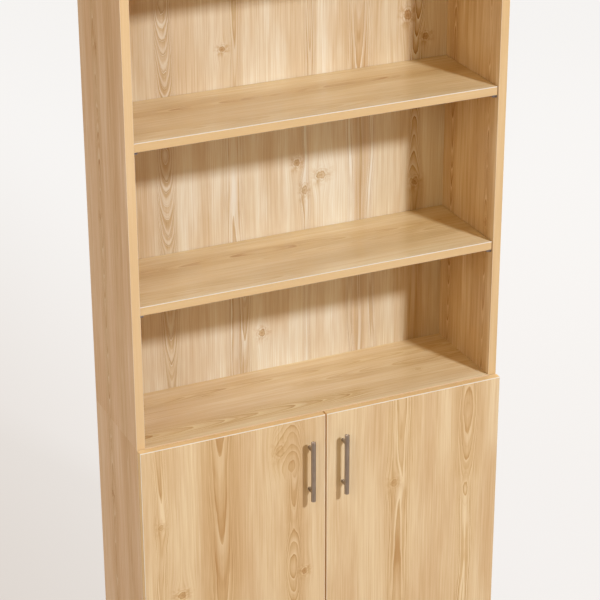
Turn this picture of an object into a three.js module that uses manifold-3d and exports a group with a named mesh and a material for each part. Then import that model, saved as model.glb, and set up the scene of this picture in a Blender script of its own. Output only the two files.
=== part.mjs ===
// Bookcase with cabinet doors: open compartments above, a two-door cabinet below.
// Millimetres. +Z is up and the doors face -Y. The origin lies on the floor under the middle
// of the bookcase, its handles included.

import * as THREE from "three";
import { mergeVertices } from "three/addons/utils/BufferGeometryUtils.js";
import Module from "manifold-3d";

// Case
const caseWidth = 800;
const caseDepth = 236; // side panels only, without the doors
const boardThickness = 18;
const edgeRadius = 1; // softened arris of the banded edges
const jointGap = 0.1; // between pieces that are fastened face to face
const plinthHeight = 68;
const plinthSetback = 32;
const cutOverrun = 4; // how far a cutter runs past the face that it opens

// Clear heights of the compartments, from the floor of the cabinet up
const cabinetLowerOpening = 354;
const cabinetUpperOpening = 357;
const lowerOpening = 284; // over the fixed shelf
const middleOpening = 314;
const topOpening = 311;

// Back panels, held in grooves
const backThickness = 4;
const backInset = 10; // rear face of the back panels to the rear edge of the sides
const grooveDepth = 6;
const grooveClearance = 0.25;

// Loose shelves on pins
const shelfSetback = 4;
const cabinetShelfSetback = 34;
const shelfEndGap = 1.2;
const shelfRearGap = 1;

// Shelf pins
const pinRadius = 2.5;
const pinInsert = 8; // length in the side panel
const pinHoleDepth = 10;
const pinFit = 0.1; // radial clearance in the hole
const pinHeadRadius = 3.6;
const pinHeadLength = 9;
const pinHeadFlat = 2.8; // pin axis to the flat that the shelf rests on
const pinCollarRadius = 4.6;
const pinCollarThickness = 0.9;
const pinFrontInset = 7; // behind the shelf's front edge
const pinRearInset = 30; // ahead of the shelf's rear edge

// Dowels between the lower and upper side panels
const dowelRadius = 4;
const dowelLength = 30;
const dowelHoleSpare = 1; // depth past the dowel's end
const dowelFit = 0.1;
const dowelInset = 46; // from the front and rear edges of the sides

// Floor glides under the sides
const glideRadius = 8;
const glideHeight = 4;
const glideStemRadius = 2;
const glideStemLength = 12;
const glideStemFit = 0.1;
const glideInset = 26;

// Doors
const doorThickness = 16;
const doorGap = 2.4; // back of the door to the front edges of the case
const doorSplit = 3.5; // between the two doors
const doorReveal = 2; // bottom edge of the door above the plinth's top
const bumperRadius = 4.5;
const bumperInset = 30; // from the door's free edge

// Concealed hinges
const hingeInset = 92; // hinge axis centre to the top or bottom edge of the door
const cupRadius = 17.5;
const cupEdge = 3; // door edge to the cup
const cupDepth = 12.5;
const cupWall = 0.8;
const cupFloor = 0.6;
const cupFit = 0.2;
const cupFlangeThickness = 1.2;
const cupFlangeReach = 0.8; // rim of the flange past the cup
const cupEarOffset = 9.5; // cup centre to the line of the ear screws
const cupEarSpacing = 45;
const cupEarRadius = 6;
const cupScrewRadius = 2.2;
const pivotInset = 6.6; // outer face of the side to the hinge pin
const pivotRadius = 1;
const pivotFit = 0.1;
const eyeRadius = 1.8;
const eyeClearance = 0.3; // eye to the cup's floor and lugs
const noseWidth = 9;
const stripThickness = 1.4;
const stripBend = 2.4;
const lugWidth = 2.5;
const lugRadius = 2.4;
const armOffset = 29.3; // outer face of the side to the middle of the arm's web
const armWidth = 14;
const armLength = 58; // behind the front edge of the side
const armStart = 1.5;
const armCheekStart = 4;
const armScrewRadius = 2.6;
const armScrewFront = 20; // behind the front edge of the side
const armScrewRear = 46;
const armClearance = 0.3; // around the mounting plate's ridge
const plateThickness = 2;
const plateSetback = 37; // line of the plate's screws behind the front edge of the side
const plateWingWidth = 18;
const plateLength = 50;
const plateScrewSpacing = 32;
const plateScrewRadius = 2.3;
const ridgeStart = 10;
const ridgeLength = 44;

// Bar handles
const barRadius = 5;
const barOverhang = 20; // past the axis of each post
const barChamfer = 0.6;
const barStandoff = 20; // face of the door to the axis of the bar
const postRadius = 4;
const postSpacing = 96;
const handleInset = 37.5; // middle of the case to the bar
const handleDrop = 114; // top edge of the door to the middle of the bar

// Handle screws, driven from inside the doors
const screwRadius = 2;
const screwBite = 9; // length in the handle's post
const screwBoreSpare = 1;
const screwFit = 0.1;
const screwHoleRadius = 2.4;
const screwHeadRadius = 4.2;
const screwHeadHeight = 2;
const screwSlotWidth = 1;
const screwSlotDepth = 0.9;

// Bores for the cam fittings that draw the flat boards to the sides
const camRadius = 7.5;
const camDepth = 12.5;
const camReach = 24; // end of the board to the cam's centre
const camInset = 60; // from the front and rear edges of the sides
const camBoltRadius = 3.5;

// Wall bracket under the top panel
const bracketWidth = 42;
const bracketLeg = 26;
const bracketThickness = 2;
const bracketBend = 3;
const bracketHoleRadius = 2.5;
const bracketHoleSpacing = 24;

// Facet counts and weld distance
const arcSteps = 2;
const pinSides = 12;
const barSides = 24;
const cupSides = 32;
const glideSides = 14;
const camBoltSides = 8;
const weldDistance = 1e-4;

// Worked out from the above
const innerWidth = caseWidth - 2 * boardThickness;
const backFront = caseDepth - backInset - backThickness;
const plinthTop = glideHeight + plinthHeight;
const bottomPanelTop = plinthTop + boardThickness;
const cabinetShelfTop = bottomPanelTop + cabinetLowerOpening + boardThickness;
const cabinetTop = cabinetShelfTop + cabinetUpperOpening + boardThickness;
const middleShelfTop = cabinetTop + lowerOpening + boardThickness;
const upperShelfTop = middleShelfTop + middleOpening + boardThickness;
const caseHeight = upperShelfTop + topOpening + boardThickness;
const doorFront = -doorGap - doorThickness; // front face of the closed doors
const doorBottom = plinthTop + doorReveal;
const doorHeight = cabinetTop - doorBottom;
const doorWidth = (caseWidth - doorSplit) / 2;
const overallDepth = caseDepth - doorFront + barStandoff + barRadius;
const caseFront = overallDepth / 2 - caseDepth; // front edges of the sides in the part's frame
const barLength = postSpacing + 2 * barOverhang;
const cupFloorInside = -doorGap - cupDepth + cupFloor;
const pivotDepth = cupFloorInside + eyeClearance + eyeRadius;
const cupCentre = cupEdge + cupRadius;

const finishes = {
  wood: { color: 0xdfbd8c, roughness: 0.5, metalness: 0 },
  backWood: { color: 0xe2c89c, roughness: 0.55, metalness: 0 },
  beech: { color: 0xc9a777, roughness: 0.7, metalness: 0 },
  handleMetal: { color: 0x8a7d70, roughness: 0.35, metalness: 1 },
  hingeSteel: { color: 0xb4b4b2, roughness: 0.3, metalness: 1 },
  pinSteel: { color: 0x9d9da8, roughness: 0.35, metalness: 1 },
  zincScrew: { color: 0xa9a79f, roughness: 0.4, metalness: 1 },
  bracketPaint: { color: 0xd8d8d4, roughness: 0.5, metalness: 0.2 },
  bumperRubber: { color: 0xd9d9d6, roughness: 0.6, metalness: 0 },
  glidePlastic: { color: 0x6f6a64, roughness: 0.6, metalness: 0 },
};

const wasm = await Module();
wasm.setup();

function solidOf(geometry) {
  const bare = geometry.clone();
  bare.deleteAttribute("normal");
  bare.deleteAttribute("uv");
  const welded = mergeVertices(bare, weldDistance);
  return new wasm.Manifold(
    new wasm.Mesh({
      numProp: 3,
      vertProperties: welded.attributes.position.array,
      triVerts: new Uint32Array(welded.index.array),
    }),
  );
}

function geometryOf(solid) {
  const { vertProperties, triVerts } = solid.getMesh();
  const indexed = new THREE.BufferGeometry();
  indexed.setAttribute("position", new THREE.BufferAttribute(vertProperties, 3));
  indexed.setIndex(new THREE.BufferAttribute(triVerts, 1));
  const faceted = indexed.toNonIndexed();
  faceted.computeVertexNormals();
  return faceted;
}

function addMesh(group, name, shape, finish) {
  const geometry = shape.isBufferGeometry ? shape : geometryOf(shape);
  const mesh = new THREE.Mesh(geometry, new THREE.MeshStandardMaterial(finishes[finish]));
  mesh.name = name;
  group.add(mesh);
}

function block(from, to) {
  const low = new THREE.Vector3(...from);
  const high = new THREE.Vector3(...to);
  const size = high.clone().sub(low);
  const middle = low.add(high).divideScalar(2);
  const box = new THREE.BoxGeometry(size.x, size.y, size.z);
  return solidOf(box.translate(middle.x, middle.y, middle.z));
}

// A cylinder that starts at a point and runs along +X, +Y or +Z.
function rod(radius, length, axis, start, sides = pinSides) {
  const geometry = new THREE.CylinderGeometry(radius, radius, length, sides);
  geometry.translate(0, length / 2, 0);
  if (axis === "x") geometry.rotateZ(-Math.PI / 2);
  if (axis === "z") geometry.rotateX(Math.PI / 2);
  return solidOf(geometry.translate(...start));
}

// The section of a board: x across its thickness, y from its banded front edge to the rear.
// A groove for a back panel can be cut in its low face, its high face, or both.
function boardOutline(depth, { lowGroove = false, highGroove = false } = {}) {
  const grooveFront = backFront - grooveClearance;
  const grooveRear = backFront + backThickness + grooveClearance;
  const outline = new THREE.Shape();
  outline.moveTo(edgeRadius, 0);
  outline.lineTo(boardThickness - edgeRadius, 0);
  outline.absarc(boardThickness - edgeRadius, edgeRadius, edgeRadius, -Math.PI / 2, 0, false);
  if (highGroove) {
    outline.lineTo(boardThickness, grooveFront);
    outline.lineTo(boardThickness - grooveDepth, grooveFront);
    outline.lineTo(boardThickness - grooveDepth, grooveRear);
    outline.lineTo(boardThickness, grooveRear);
  }
  outline.lineTo(boardThickness, depth);
  outline.lineTo(0, depth);
  if (lowGroove) {
    outline.lineTo(0, grooveRear);
    outline.lineTo(grooveDepth, grooveRear);
    outline.lineTo(grooveDepth, grooveFront);
    outline.lineTo(0, grooveFront);
  }
  outline.lineTo(0, edgeRadius);
  outline.absarc(edgeRadius, edgeRadius, edgeRadius, Math.PI, (3 * Math.PI) / 2, false);
  return outline;
}

function extrude(outline, length) {
  return new THREE.ExtrudeGeometry(outline, {
    depth: length,
    bevelEnabled: false,
    curveSegments: arcSteps,
  });
}

// A board that lies flat between the sides, with its top face at the given height.
function flatBoard(outline, length, front, top) {
  const geometry = extrude(outline, length);
  geometry.rotateY(-Math.PI / 2);
  return solidOf(geometry.translate(length / 2, front, top - boardThickness));
}

// A board held by cam fittings: a blind bore for each cam in its underside, and a bore for the
// cam's bolt from the end of the board.
function cammedBoard(outline, top) {
  const boardLength = innerWidth - 2 * jointGap;
  const end = boardLength / 2;
  const underside = top - boardThickness;
  let board = flatBoard(outline, boardLength, 0, top);
  for (const back of [camInset, caseDepth - camInset]) {
    for (const way of [-1, 1]) {
      const camStart = [way * (end - camReach), back, underside - cutOverrun];
      const boltFrom = Math.min(way * (end - camReach), way * (end + cutOverrun));
      const boltStart = [boltFrom, back, underside + boardThickness / 2];
      board = board
        .subtract(rod(camRadius, camDepth + cutOverrun, "z", camStart, glideSides))
        .subtract(rod(camBoltRadius, camReach + cutOverrun, "x", boltStart, camBoltSides));
    }
  }
  return board;
}

// Places of the two shelf pins on one side: how far back, and how high their axis lies.
function pinPlaces({ front, top }) {
  const rear = backFront - shelfRearGap;
  const axisHeight = top - boardThickness - jointGap - pinHeadFlat;
  return {
    front: [front + pinFrontInset, axisHeight],
    rear: [rear - pinRearInset, axisHeight],
  };
}

const shelves = {
  upper: { front: shelfSetback, top: upperShelfTop },
  middle: { front: shelfSetback, top: middleShelfTop },
  cabinet: { front: cabinetShelfSetback, top: cabinetShelfTop },
};
const dowelPlaces = { front: dowelInset, rear: caseDepth - dowelInset };
const glidePlaces = { front: glideInset, rear: caseDepth - glideInset };
const hingeHeights = { lower: doorBottom + hingeInset, upper: cabinetTop - hingeInset };
const handleMiddle = cabinetTop - handleDrop;
const postHeights = [handleMiddle - postSpacing / 2, handleMiddle + postSpacing / 2];

// Side panels, drawn for the left side: x runs inwards from the side's outer face.
function sidePanel(bottom, top, pinnedShelves) {
  let panel = solidOf(extrude(boardOutline(caseDepth, { highGroove: true }), top - bottom));
  panel = panel.translate([0, 0, bottom]);
  for (const shelf of pinnedShelves) {
    for (const [back, height] of Object.values(pinPlaces(shelf))) {
      const start = [boardThickness - pinHoleDepth, back, height];
      panel = panel.subtract(
        rod(pinRadius + pinFit, pinHoleDepth + cutOverrun, "x", start),
      );
    }
  }
  return panel;
}

function dowelHole(back, fromHeight, toHeight) {
  const start = [boardThickness / 2, back, fromHeight];
  return rod(dowelRadius + dowelFit, toHeight - fromHeight, "z", start);
}

function lowerSide() {
  let panel = sidePanel(glideHeight, cabinetTop, [shelves.cabinet]);
  const holeBottom = cabinetTop - dowelLength / 2 - dowelHoleSpare;
  for (const back of Object.values(dowelPlaces)) {
    panel = panel.subtract(dowelHole(back, holeBottom, cabinetTop + cutOverrun));
  }
  for (const back of Object.values(glidePlaces)) {
    const length = cutOverrun + glideStemLength + dowelHoleSpare;
    const start = [boardThickness / 2, back, glideHeight - cutOverrun];
    panel = panel.subtract(rod(glideStemRadius + glideStemFit, length, "z", start));
  }
  return panel;
}

function upperSide() {
  const bottom = cabinetTop + jointGap;
  let panel = sidePanel(bottom, caseHeight, [shelves.upper, shelves.middle]);
  const holeTop = bottom + dowelLength / 2 + dowelHoleSpare;
  for (const back of Object.values(dowelPlaces)) {
    panel = panel.subtract(dowelHole(back, bottom - cutOverrun, holeTop));
  }
  return panel;
}

// A pin with a round shank in the panel, a thin collar, and a head cut flat on top.
function shelfPin([back, height]) {
  const shankStart = [boardThickness - pinInsert, back, height];
  const headStart = [boardThickness, back, height];
  const collarStart = [boardThickness + jointGap, back, height];
  const shank = rod(pinRadius, pinInsert + pinCollarThickness, "x", shankStart);
  const head = rod(pinHeadRadius, pinHeadLength, "x", headStart)
    .add(rod(pinCollarRadius, pinCollarThickness, "x", collarStart))
    .subtract(
      block(
        [boardThickness - cutOverrun, back - pinCollarRadius, height - pinCollarRadius],
        [boardThickness + jointGap, back + pinCollarRadius, height + pinCollarRadius],
      ),
    )
    .subtract(
      block(
        [boardThickness, back - pinCollarRadius, height + pinHeadFlat],
        [boardThickness + pinHeadLength + cutOverrun, back + pinCollarRadius, height + pinCollarRadius],
      ),
    );
  return shank.add(head);
}

function floorGlide(back) {
  const centre = [boardThickness / 2, back];
  return rod(glideRadius, glideHeight - jointGap, "z", [...centre, 0], glideSides).add(
    rod(glideStemRadius, glideHeight + glideStemLength - jointGap, "z", [...centre, 0]),
  );
}

// A slab with softened edges, such as a door, drawn from its back face towards -Y.
function softSlab(slabWidth, slabHeight, thickness) {
  const outline = new THREE.Shape();
  outline.moveTo(0, 0);
  outline.lineTo(slabWidth, 0);
  outline.lineTo(slabWidth, slabHeight);
  outline.lineTo(0, slabHeight);
  const geometry = new THREE.ExtrudeGeometry(outline, {
    depth: thickness - 2 * edgeRadius,
    bevelThickness: edgeRadius,
    bevelSize: edgeRadius,
    bevelOffset: -edgeRadius,
    bevelSegments: arcSteps,
  });
  geometry.translate(0, 0, edgeRadius);
  geometry.rotateX(Math.PI / 2);
  return solidOf(geometry);
}

// The left door, with blind holes for the hinge cups and through holes for the handle screws.
function door() {
  let panel = softSlab(doorWidth, doorHeight, doorThickness);
  panel = panel.translate([0, -doorGap, doorBottom]);
  for (const height of Object.values(hingeHeights)) {
    const start = [cupCentre, -doorGap - cupDepth - cupFit, height];
    panel = panel.subtract(
      rod(cupRadius + cupFit, cupDepth + cupFit + cutOverrun, "y", start, cupSides),
    );
  }
  for (const height of postHeights) {
    const start = [caseWidth / 2 - handleInset, doorFront - cutOverrun, height];
    panel = panel.subtract(rod(screwHoleRadius, doorThickness + 2 * cutOverrun, "y", start));
  }
  return panel;
}

// A round bar on two posts. Each post has a blind bore for its screw.
function handle() {
  const across = caseWidth / 2 - handleInset;
  const profile = [
    new THREE.Vector2(0, 0),
    new THREE.Vector2(barRadius - barChamfer, 0),
    new THREE.Vector2(barRadius, barChamfer),
    new THREE.Vector2(barRadius, barLength - barChamfer),
    new THREE.Vector2(barRadius - barChamfer, barLength),
    new THREE.Vector2(0, barLength),
  ];
  const bar = new THREE.LatheGeometry(profile, barSides);
  bar.rotateX(Math.PI / 2);
  bar.translate(across, doorFront - barStandoff, handleMiddle - barLength / 2);
  let shape = solidOf(bar);
  for (const height of postHeights) {
    const start = [across, doorFront - barStandoff, height];
    const boreStart = [across, doorFront - jointGap - screwBite - screwBoreSpare, height];
    const boreLength = screwBite + screwBoreSpare + cutOverrun;
    shape = shape
      .add(rod(postRadius, barStandoff - jointGap, "y", start))
      .subtract(rod(screwRadius + screwFit, boreLength, "y", boreStart));
  }
  return shape;
}

function handleScrew(height) {
  const across = caseWidth / 2 - handleInset;
  const shankStart = [across, doorFront - jointGap - screwBite, height];
  const shankLength = jointGap + screwBite + doorThickness + screwHeadHeight;
  const headStart = -doorGap + jointGap;
  const headEnd = headStart + screwHeadHeight;
  const slot = block(
    [across - screwHeadRadius, headEnd - screwSlotDepth, height - screwSlotWidth / 2],
    [across + screwHeadRadius, headEnd + cutOverrun, height + screwSlotWidth / 2],
  );
  return rod(screwRadius, shankLength, "y", shankStart)
    .add(rod(screwHeadRadius, screwHeadHeight, "y", [across, headStart, height], barSides))
    .subtract(slot);
}

function doorBumper() {
  const across = doorWidth - bumperInset;
  const height = cabinetTop - boardThickness / 2;
  const start = [across, -doorGap + jointGap, height];
  return rod(bumperRadius, doorGap - 2 * jointGap, "y", start, glideSides);
}

// The pressed cup: a round pocket with a flange on the door's back and two lugs for the pin.
function hingeCup(height) {
  const cupBack = -doorGap - cupDepth;
  const axis = [cupCentre, cupBack, height];
  const body = rod(cupRadius, cupDepth + jointGap + cupFlangeThickness, "y", axis, cupSides);
  const flangeStart = -doorGap + jointGap;
  let flange = rod(
    cupRadius + cupFlangeReach,
    cupFlangeThickness,
    "y",
    [cupCentre, flangeStart, height],
    cupSides,
  );
  for (const way of [-1, 1]) {
    const ear = [cupCentre + cupEarOffset, flangeStart, height + (way * cupEarSpacing) / 2];
    flange = flange
      .add(rod(cupEarRadius, cupFlangeThickness, "y", ear, glideSides))
      .add(
        block(
          [ear[0] - cupEarRadius, flangeStart, Math.min(height, ear[2])],
          [ear[0] + cupEarRadius, flangeStart + cupFlangeThickness, Math.max(height, ear[2])],
        ),
      )
      .subtract(
        rod(cupScrewRadius, cupFlangeThickness + 2 * cutOverrun, "y", [
          ear[0],
          flangeStart - cutOverrun,
          ear[2],
        ]),
      );
  }
  const pocketStart = [cupCentre, cupFloorInside, height];
  let cup = body
    .add(flange)
    .subtract(rod(cupRadius - cupWall, cupDepth + cutOverrun, "y", pocketStart, cupSides));
  const lugNear = noseWidth / 2 + eyeClearance;
  for (const way of [-1, 1]) {
    const low = Math.min(way * lugNear, way * (lugNear + lugWidth));
    const lug = block(
      [cupEdge, cupFloorInside - cupFloor, height + low],
      [pivotInset + lugRadius, pivotDepth + lugRadius, height + low + lugWidth],
    );
    cup = cup.add(lug.intersect(body));
  }
  const pinHole = [pivotInset, pivotDepth, height - lugNear - lugWidth - cutOverrun];
  const holeLength = 2 * (lugNear + lugWidth + cutOverrun);
  return cup.subtract(rod(pivotRadius + pivotFit, holeLength, "z", pinHole));
}

function hingePin(height) {
  const half = noseWidth / 2 + eyeClearance + lugWidth;
  return rod(pivotRadius, 2 * half, "z", [pivotInset, pivotDepth, height - half]);
}

// The arm: a strip that starts as an eye round the pin, runs along the cup's floor, turns out
// of the cup's mouth and becomes the web of a channel over the mounting plate.
function hingeArm(height) {
  const low = pivotDepth - stripThickness / 2;
  const high = pivotDepth + stripThickness / 2;
  const outer = armOffset + stripThickness / 2;
  const inner = armOffset - stripThickness / 2;
  const innerBend = stripBend - stripThickness;
  const strip = new THREE.Shape();
  strip.moveTo(pivotInset, low);
  strip.lineTo(outer - stripBend, low);
  strip.absarc(outer - stripBend, low + stripBend, stripBend, -Math.PI / 2, 0, false);
  strip.lineTo(outer, armCheekStart);
  strip.lineTo(inner, armCheekStart);
  strip.lineTo(inner, high + innerBend);
  strip.absarc(inner - innerBend, high + innerBend, innerBend, 0, -Math.PI / 2, true);
  strip.lineTo(pivotInset, high);
  const nose = extrude(strip, noseWidth).translate(0, 0, height - noseWidth / 2);
  const eyeStart = [pivotInset, pivotDepth, height - noseWidth / 2];
  const cheekFoot = boardThickness + jointGap + plateThickness + armClearance;
  let arm = solidOf(nose)
    .add(rod(eyeRadius, noseWidth, "z", eyeStart))
    .add(
      block(
        [inner, armStart, height - armWidth / 2],
        [outer, armLength, height + armWidth / 2],
      ),
    );
  for (const way of [-1, 1]) {
    const faces = [way * (armWidth / 2 - stripThickness), (way * armWidth) / 2];
    arm = arm.add(
      block(
        [cheekFoot, armCheekStart, height + Math.min(...faces)],
        [outer, armLength, height + Math.max(...faces)],
      ),
    );
  }
  for (const back of [armScrewFront, armScrewRear]) {
    const start = [inner - cutOverrun, back, height];
    arm = arm.subtract(rod(armScrewRadius, stripThickness + 2 * cutOverrun, "x", start));
  }
  const boreStart = [pivotInset, pivotDepth, height - noseWidth / 2 - cutOverrun];
  return arm.subtract(rod(pivotRadius + pivotFit, noseWidth + 2 * cutOverrun, "z", boreStart));
}

// The plate on the side panel: two wings for its screws, and a ridge that the arm sits over.
function mountingPlate(height) {
  const foot = boardThickness + jointGap;
  const ridgeTop = armOffset - stripThickness / 2 - armClearance;
  const ridgeHalf = armWidth / 2 - stripThickness - armClearance;
  let plate = block(
    [foot, plateSetback - plateWingWidth / 2, height - plateLength / 2],
    [foot + plateThickness, plateSetback + plateWingWidth / 2, height + plateLength / 2],
  ).add(
    block(
      [foot, ridgeStart, height - ridgeHalf],
      [ridgeTop, ridgeStart + ridgeLength, height + ridgeHalf],
    ),
  );
  for (const way of [-1, 1]) {
    const start = [foot - cutOverrun, plateSetback, height + (way * plateScrewSpacing) / 2];
    plate = plate.subtract(rod(plateScrewRadius, plateThickness + 2 * cutOverrun, "x", start));
  }
  return plate;
}

// An angle bracket, one leg under the top panel and the other against the back panel.
function wallBracket() {
  const top = caseHeight - boardThickness - jointGap;
  const rear = backFront - jointGap;
  const bendInside = bracketBend - bracketThickness;
  const section = new THREE.Shape();
  section.moveTo(0, 0);
  section.lineTo(bracketThickness, 0);
  section.lineTo(bracketThickness, bracketLeg - bracketThickness - bendInside);
  section.absarc(
    bracketThickness + bendInside,
    bracketLeg - bracketThickness - bendInside,
    bendInside,
    Math.PI,
    Math.PI / 2,
    true,
  );
  section.lineTo(bracketLeg, bracketLeg - bracketThickness);
  section.lineTo(bracketLeg, bracketLeg);
  section.lineTo(bracketBend, bracketLeg);
  section.absarc(bracketBend, bracketLeg - bracketBend, bracketBend, Math.PI / 2, Math.PI, false);
  const geometry = extrude(section, bracketWidth);
  geometry.rotateX(Math.PI / 2);
  geometry.rotateZ(-Math.PI / 2);
  geometry.translate(bracketWidth / 2, rear, top - bracketLeg);
  let bracket = solidOf(geometry);
  for (const way of [-1, 1]) {
    const across = (way * bracketHoleSpacing) / 2;
    const legMiddle = bracketLeg / 2;
    bracket = bracket
      .subtract(
        rod(bracketHoleRadius, bracketThickness + 2 * cutOverrun, "z", [
          across,
          rear - legMiddle,
          top - bracketThickness - cutOverrun,
        ]),
      )
      .subtract(
        rod(bracketHoleRadius, bracketThickness + 2 * cutOverrun, "y", [
          across,
          rear - bracketThickness - cutOverrun,
          top - legMiddle,
        ]),
      );
  }
  return bracket;
}

// The pieces between the sides, with x measured from the middle of the case.
function addMiddlePieces(group) {
  const half = innerWidth / 2 - jointGap;
  const topOutline = boardOutline(caseDepth, { lowGroove: true });
  const fixedOutline = boardOutline(caseDepth, { lowGroove: true, highGroove: true });
  const bottomOutline = boardOutline(backFront - jointGap);
  addMesh(group, "top_panel", cammedBoard(topOutline, caseHeight), "wood");
  addMesh(group, "fixed_shelf", cammedBoard(fixedOutline, cabinetTop), "wood");
  addMesh(group, "bottom_panel", cammedBoard(bottomOutline, bottomPanelTop), "wood");
  addMesh(
    group,
    "plinth",
    block(
      [-half, plinthSetback, glideHeight],
      [half, plinthSetback + boardThickness, plinthTop - jointGap],
    ),
    "wood",
  );
  const backHalf = innerWidth / 2 + grooveDepth - grooveClearance;
  addMesh(
    group,
    "upper_back",
    block(
      [-backHalf, backFront, cabinetTop - grooveDepth + grooveClearance],
      [
        backHalf,
        backFront + backThickness,
        caseHeight - boardThickness + grooveDepth - grooveClearance,
      ],
    ),
    "backWood",
  );
  addMesh(
    group,
    "lower_back",
    block(
      [-backHalf, backFront, plinthTop],
      [
        backHalf,
        backFront + backThickness,
        cabinetTop - boardThickness + grooveDepth - grooveClearance,
      ],
    ),
    "backWood",
  );
  const shelfLength = innerWidth - 2 * shelfEndGap;
  for (const [name, { front, top }] of Object.entries(shelves)) {
    const outline = boardOutline(backFront - shelfRearGap - front);
    addMesh(group, `${name}_shelf`, flatBoard(outline, shelfLength, front, top), "wood");
  }
  addMesh(group, "wall_bracket", wallBracket(), "bracketPaint");
}

// What stands on one side of the case, drawn for the left and mirrored for the right.
function addSidePieces(group, side) {
  addMesh(group, `${side}_side_lower`, lowerSide(), "wood");
  addMesh(group, `${side}_side_upper`, upperSide(), "wood");
  for (const [shelfName, shelf] of Object.entries(shelves)) {
    for (const [end, place] of Object.entries(pinPlaces(shelf))) {
      addMesh(group, `${shelfName}_shelf_pin_${side}_${end}`, shelfPin(place), "pinSteel");
    }
  }
  for (const [end, back] of Object.entries(dowelPlaces)) {
    const start = [boardThickness / 2, back, cabinetTop - dowelLength / 2];
    const dowel = rod(dowelRadius, dowelLength, "z", start);
    addMesh(group, `${side}_dowel_${end}`, dowel, "beech");
  }
  for (const [end, back] of Object.entries(glidePlaces)) {
    addMesh(group, `${side}_glide_${end}`, floorGlide(back), "glidePlastic");
  }
  for (const [level, height] of Object.entries(hingeHeights)) {
    const name = `${side}_${level}_hinge`;
    addMesh(group, `${name}_plate`, mountingPlate(height), "hingeSteel");
    addMesh(group, `${name}_arm`, hingeArm(height), "hingeSteel");
    addMesh(group, `${name}_cup`, hingeCup(height), "hingeSteel");
    addMesh(group, `${name}_pin`, hingePin(height), "hingeSteel");
  }
  addMesh(group, `${side}_door`, door(), "wood");
  addMesh(group, `${side}_door_bumper`, doorBumper(), "bumperRubber");
  addMesh(group, `${side}_handle`, handle(), "handleMetal");
  addMesh(group, `${side}_handle_screw_lower`, handleScrew(postHeights[0]), "zincScrew");
  addMesh(group, `${side}_handle_screw_upper`, handleScrew(postHeights[1]), "zincScrew");
}

const bookcase = new THREE.Group();
bookcase.position.y = caseFront;

addMiddlePieces(bookcase);

for (const [side, way] of [["left", -1], ["right", 1]]) {
  const half = new THREE.Group();
  half.position.x = (way * caseWidth) / 2;
  half.scale.x = -way;
  bookcase.add(half);
  addSidePieces(half, side);
}

// A plain outer group keeps the part's own frame at the origin.
const part = new THREE.Group();
part.add(bookcase);

export default part;
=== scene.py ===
import math

import bmesh
import bpy
from mathutils import Euler, Matrix, Vector


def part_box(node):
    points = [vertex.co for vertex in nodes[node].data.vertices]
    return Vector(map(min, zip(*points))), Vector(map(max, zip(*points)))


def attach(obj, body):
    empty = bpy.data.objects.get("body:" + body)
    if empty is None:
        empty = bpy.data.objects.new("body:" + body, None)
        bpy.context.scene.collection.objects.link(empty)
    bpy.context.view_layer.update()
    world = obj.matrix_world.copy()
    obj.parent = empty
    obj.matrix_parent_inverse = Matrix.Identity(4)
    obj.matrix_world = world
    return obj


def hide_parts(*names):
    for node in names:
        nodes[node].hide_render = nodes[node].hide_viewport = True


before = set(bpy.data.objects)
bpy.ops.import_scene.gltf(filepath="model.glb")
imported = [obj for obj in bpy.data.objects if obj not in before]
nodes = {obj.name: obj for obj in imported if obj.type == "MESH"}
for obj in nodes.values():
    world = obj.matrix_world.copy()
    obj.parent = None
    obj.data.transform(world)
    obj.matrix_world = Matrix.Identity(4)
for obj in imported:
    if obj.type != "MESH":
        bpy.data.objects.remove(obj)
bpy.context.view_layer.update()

print("bookcase loaded,", len(nodes), "pieces")

# Camera, at the photographed angle: from the front left and above
cameraLook = dict(
    place=(-1.6386, -3.6116, 2.8748),
    turn=24.332,  # degrees clockwise from straight ahead
    tilt=-24.791,  # degrees below level
    roll=-0.179,
    lens=129.73,
    sensor=36,
    clip=(0.05, 100),
)


def addCamera(look):
    camera = bpy.data.objects.new("camera", bpy.data.cameras.new("camera"))
    bpy.context.collection.objects.link(camera)
    camera.data.lens = look["lens"]
    camera.data.sensor_width = look["sensor"]
    camera.data.clip_start, camera.data.clip_end = look["clip"]
    heading = Euler((math.radians(90 + look["tilt"]), 0, math.radians(-look["turn"])))
    turned = heading.to_matrix() @ Matrix.Rotation(math.radians(look["roll"]), 3, "Z")
    camera.location = look["place"]
    camera.rotation_euler = turned.to_euler()
    bpy.context.scene.camera = camera


addCamera(cameraLook)
print("camera ready")


def tone(red, green, blue):
    # display values of 0 to 255, as the linear colour a socket takes
    linear = []
    for value in (red, green, blue):
        value = value / 255
        linear.append(value / 12.92 if value <= 0.04045 else ((value + 0.055) / 1.055) ** 2.4)
    return (*linear, 1)


def feed(tree, socket, value):
    if isinstance(value, bpy.types.NodeSocket):
        tree.links.new(value, socket)
    else:
        socket.default_value = value


def addNode(tree, kind, feeds=None, **settings):
    node = tree.nodes.new("ShaderNode" + kind)
    for name, value in settings.items():
        setattr(node, name, value)
    for name, value in (feeds or {}).items():
        feed(tree, node.inputs[name], value)
    return node


def calc(tree, operation, *values):
    node = addNode(tree, "Math", operation=operation)
    for socket, value in zip(node.inputs, values):
        feed(tree, socket, value)
    return node.outputs[0]


def times(tree, first, *others):
    for other in others:
        first = calc(tree, "MULTIPLY", first, other)
    return first


def plus(tree, first, second):
    return calc(tree, "ADD", first, second)


def minus(tree, first, second):
    return calc(tree, "SUBTRACT", first, second)


def raised(tree, base, value, factor):
    # the base, with a factor of the value added
    return calc(tree, "MULTIPLY_ADD", value, factor, base)


def centred(tree, value):
    # noise of 0 to 1, moved to lie round 0
    return minus(tree, value, 0.5)


def vectorNode(tree, operation, *values):
    node = addNode(tree, "VectorMath", operation=operation)
    for socket, value in zip(node.inputs, values):
        feed(tree, socket, value)
    return node.outputs


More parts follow.
